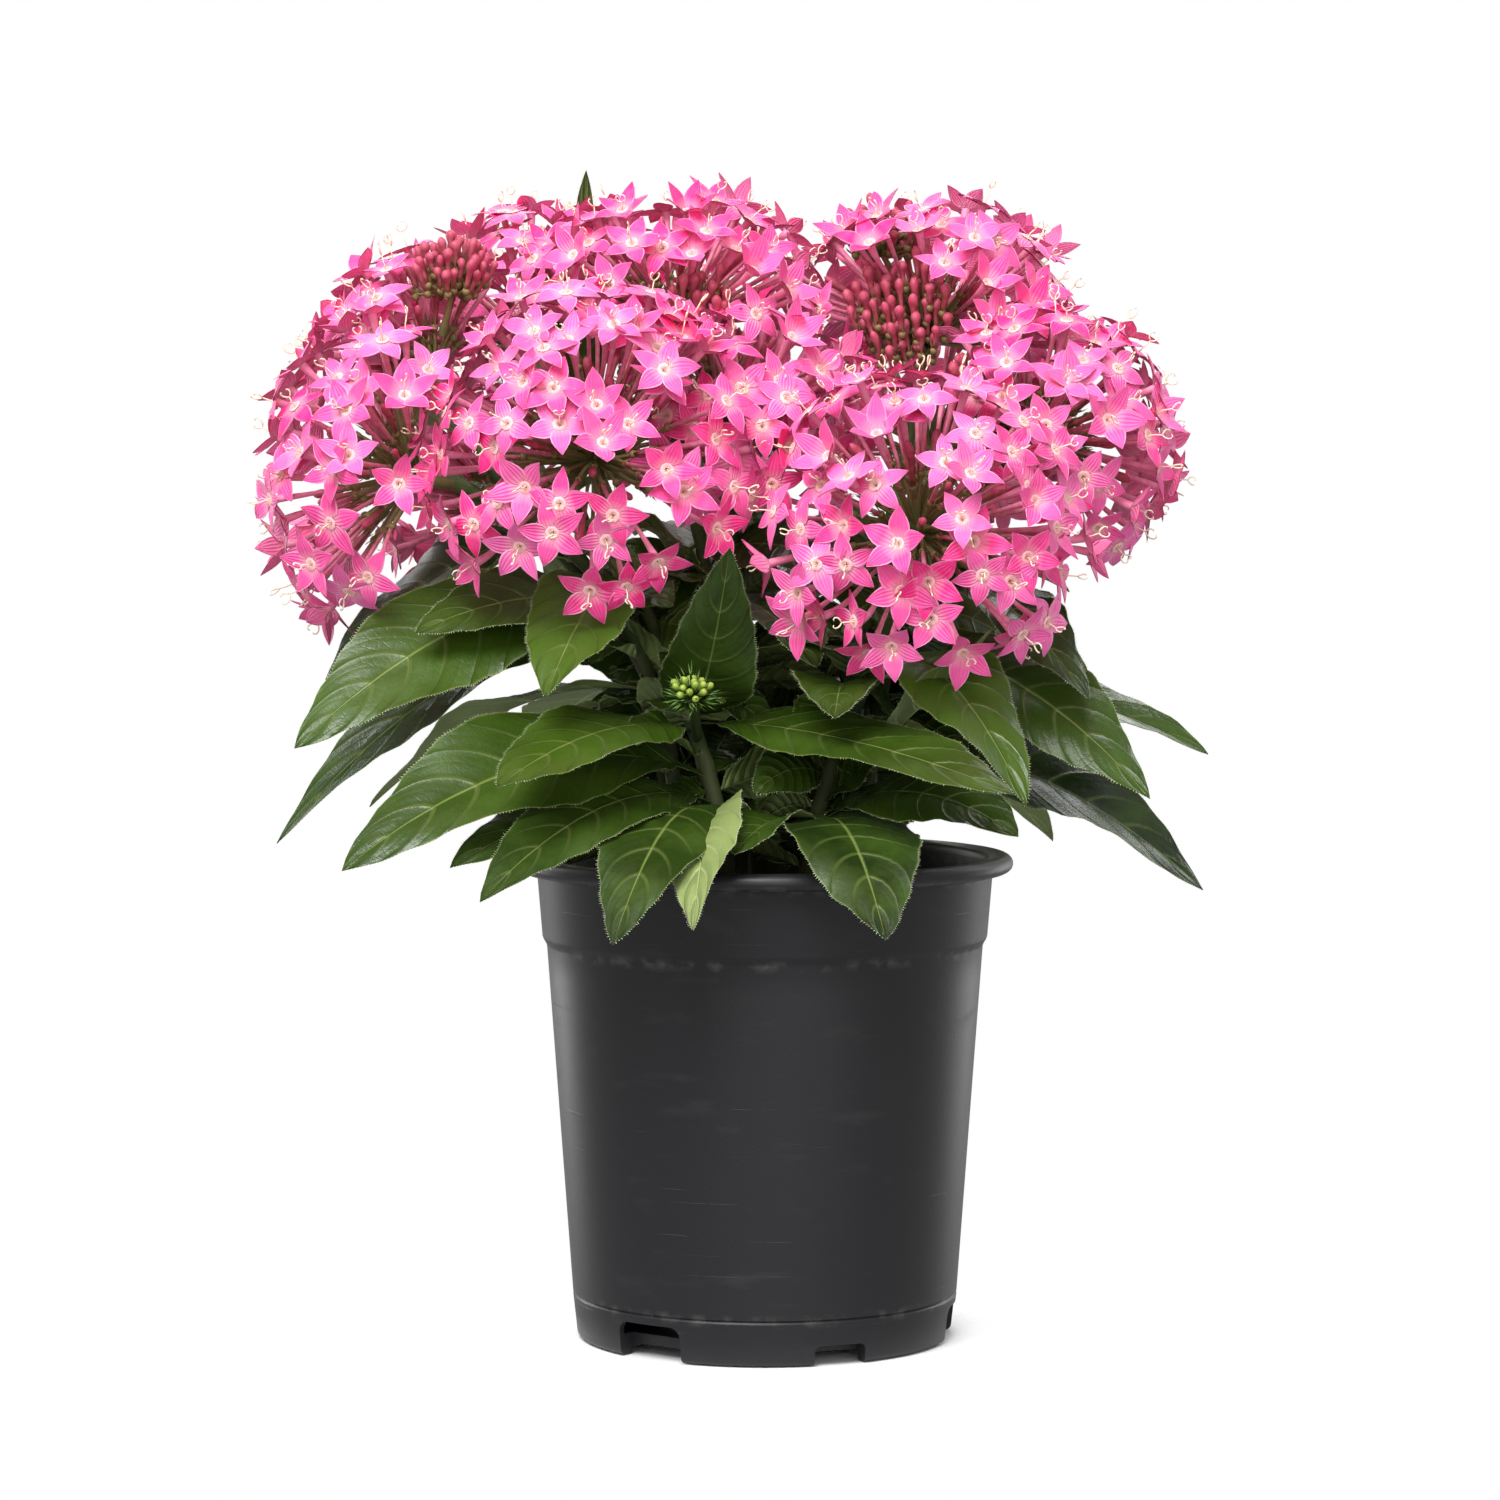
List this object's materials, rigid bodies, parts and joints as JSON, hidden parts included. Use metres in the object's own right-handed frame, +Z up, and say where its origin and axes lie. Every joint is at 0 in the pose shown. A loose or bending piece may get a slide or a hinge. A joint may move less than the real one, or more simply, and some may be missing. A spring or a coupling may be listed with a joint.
{
  "type": "potted pentas plant",
  "caption": "Pentas in bloom in a black nursery pot: leafy stems that end in domes of pink star florets over a tapered pot with a rolled lip and notched foot.",
  "frame": {"origin": "centre of the pot's underside, at the height of its foot ring and centre pad", "axes": "+Z up; -Y towards the picture's viewer; +X to the viewer's right"},
  "size_m": [0.2289, 0.1969, 0.283],
  "materials": {
    "pot_plastic": "satin",
    "potting_soil": "matte",
    "leaf": "satin",
    "petal": "satin",
    "bud": "satin"
  },
  "bodies": {
    "root": {"pot": "pot_plastic", "soil": "potting_soil", "stem_far_left": "leaf", "stem_front_left": "leaf", "stem_back_left": "leaf", "stem_top": "leaf", "stem_top_right": "leaf", "stem_right": "leaf", "stem_front_right": "leaf", "stem_back": "leaf", "stem_back_right": "leaf", "head_far_left": "petal", "head_left_bud": "petal", "head_back_left": "petal", "head_front_left": "petal", "head_top": "petal", "head_centre": "petal", "head_top_right": "petal", "head_right": "petal", "head_front_right": "petal", "head_back": "petal", "head_back_right": "petal", "head_back_low": "petal", "buds_left": "bud", "buds_top_right": "bud"}
  },
  "joints": []
}
